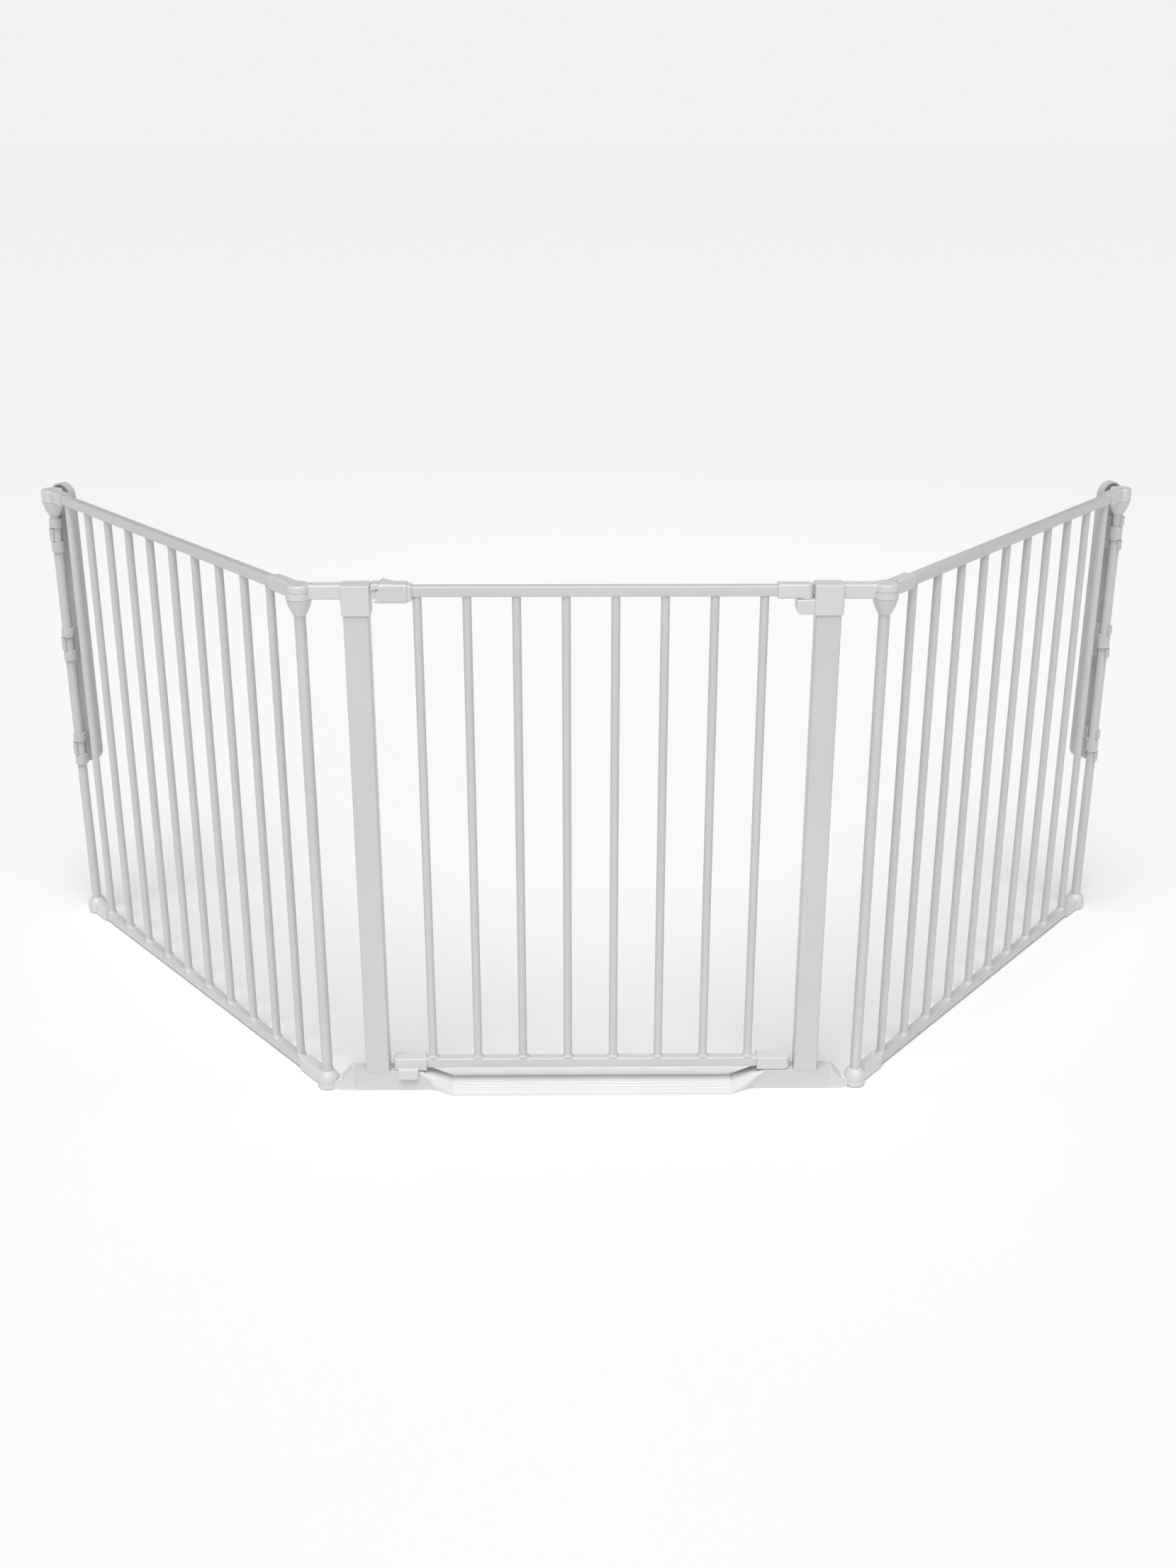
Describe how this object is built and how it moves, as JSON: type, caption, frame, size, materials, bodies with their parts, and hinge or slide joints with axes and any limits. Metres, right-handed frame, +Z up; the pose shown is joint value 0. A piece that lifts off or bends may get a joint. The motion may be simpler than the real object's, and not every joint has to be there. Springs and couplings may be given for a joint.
{
  "type": "child safety gate",
  "caption": "White tubular steel child safety gate: barred door in a low-threshold frame with folding barred wings, lift-and-swing hinge, top latch and wall brackets.",
  "frame": {"origin": "centre of the bounding box on the floor", "axes": "+X along the doorway from the latch side to the hinge side, +Y to the back where the wings fold, +Z up"},
  "size_m": [1.6582, 0.6224, 0.712],
  "materials": {
    "coated_steel": "satin powder coat",
    "moulded_plastic": "satin moulded nylon",
    "slider_plastic": "satin moulded",
    "bracket_plastic": "satin moulded",
    "ramp_plastic": "semi-gloss moulded",
    "plated_steel": "zinc plated",
    "spring_steel": "drawn wire",
    "bush_plastic": "natural acetal"
  },
  "bodies": {
    "gate_frame": {"left_upright": "coated_steel", "right_upright": "coated_steel", "left_arm_tube": "coated_steel", "right_arm_tube": "coated_steel", "left_top_fitting": "moulded_plastic", "right_top_fitting": "moulded_plastic", "left_threshold_bar": "coated_steel", "right_threshold_bar": "coated_steel", "threshold_strap": "plated_steel", "threshold_ramp": "ramp_plastic", "left_threshold_end": "moulded_plastic", "right_threshold_end": "moulded_plastic", "right_corner_post": "coated_steel", "right_corner_funnel": "moulded_plastic", "hinge_bush": "bush_plastic"},
    "hinge_pins": {"upper_hinge_pin": "plated_steel", "lower_hinge_pin": "plated_steel"},
    "door": {"door_top_rail": "coated_steel", "door_bottom_rail": "coated_steel", "door_bars": "coated_steel", "latch_housing": "moulded_plastic", "hinge_sleeve": "moulded_plastic", "lock_block": "moulded_plastic", "hinge_block": "moulded_plastic", "latch_spring": "spring_steel"},
    "latch": {"latch_slider": "slider_plastic"},
    "left_wing": {"left_wing_top_rail": "coated_steel", "left_wing_bottom_rail": "coated_steel", "left_wing_bars": "coated_steel", "left_wing_corner_top_sleeve": "moulded_plastic", "left_wing_corner_bottom_sleeve": "moulded_plastic", "left_wing_outer_top_sleeve": "moulded_plastic", "left_wing_outer_bottom_sleeve": "moulded_plastic", "left_wing_outer_post": "coated_steel", "left_wing_outer_funnel": "moulded_plastic", "left_wing_corner_post": "coated_steel", "left_wing_corner_funnel": "moulded_plastic"},
    "right_wing": {"right_wing_top_rail": "coated_steel", "right_wing_bottom_rail": "coated_steel", "right_wing_bars": "coated_steel", "right_wing_corner_top_sleeve": "moulded_plastic", "right_wing_corner_bottom_sleeve": "moulded_plastic", "right_wing_outer_top_sleeve": "moulded_plastic", "right_wing_outer_bottom_sleeve": "moulded_plastic", "right_wing_outer_post": "coated_steel", "right_wing_outer_funnel": "moulded_plastic"},
    "left_bracket": {"left_wall_bracket": "bracket_plastic"},
    "right_bracket": {"right_wall_bracket": "bracket_plastic"}
  },
  "joints": [
    {"name": "door_lift", "type": "slide", "parent": "gate_frame", "child": "hinge_pins", "axis": [0, 0, 1], "range_m": [0, 0.012]},
    {"name": "door_swing", "type": "hinge", "parent": "hinge_pins", "child": "door", "pos_m": [0.259, -0.28318, 0.03825], "axis": [0, 0, 1], "range_deg": [0, 100]},
    {"name": "latch_slide", "type": "slide", "parent": "door", "child": "latch", "axis": [1, 0, 0], "range_m": [0, 0.005], "stiffness_N_per_m": 300, "springref_m": -0.005, "deforming": ["latch_spring"]},
    {"name": "left_wing_fold", "type": "hinge", "parent": "gate_frame", "child": "left_wing", "pos_m": [-0.36, -0.28318, 0.697], "axis": [0, 0, 1], "range_deg": [-39, 51]},
    {"name": "right_wing_fold", "type": "hinge", "parent": "gate_frame", "child": "right_wing", "pos_m": [0.36, -0.28318, 0.697], "axis": [0, 0, 1], "range_deg": [-51, 39]},
    {"name": "left_bracket_swivel", "type": "hinge", "parent": "left_wing", "child": "left_bracket", "pos_m": [-0.81311, 0.27636, 0.4625], "axis": [0, 0, 1], "range_deg": [-30, 110]},
    {"name": "right_bracket_swivel", "type": "hinge", "parent": "right_wing", "child": "right_bracket", "pos_m": [0.81311, 0.27636, 0.4625], "axis": [0, 0, 1], "range_deg": [-110, 30]}
  ]
}
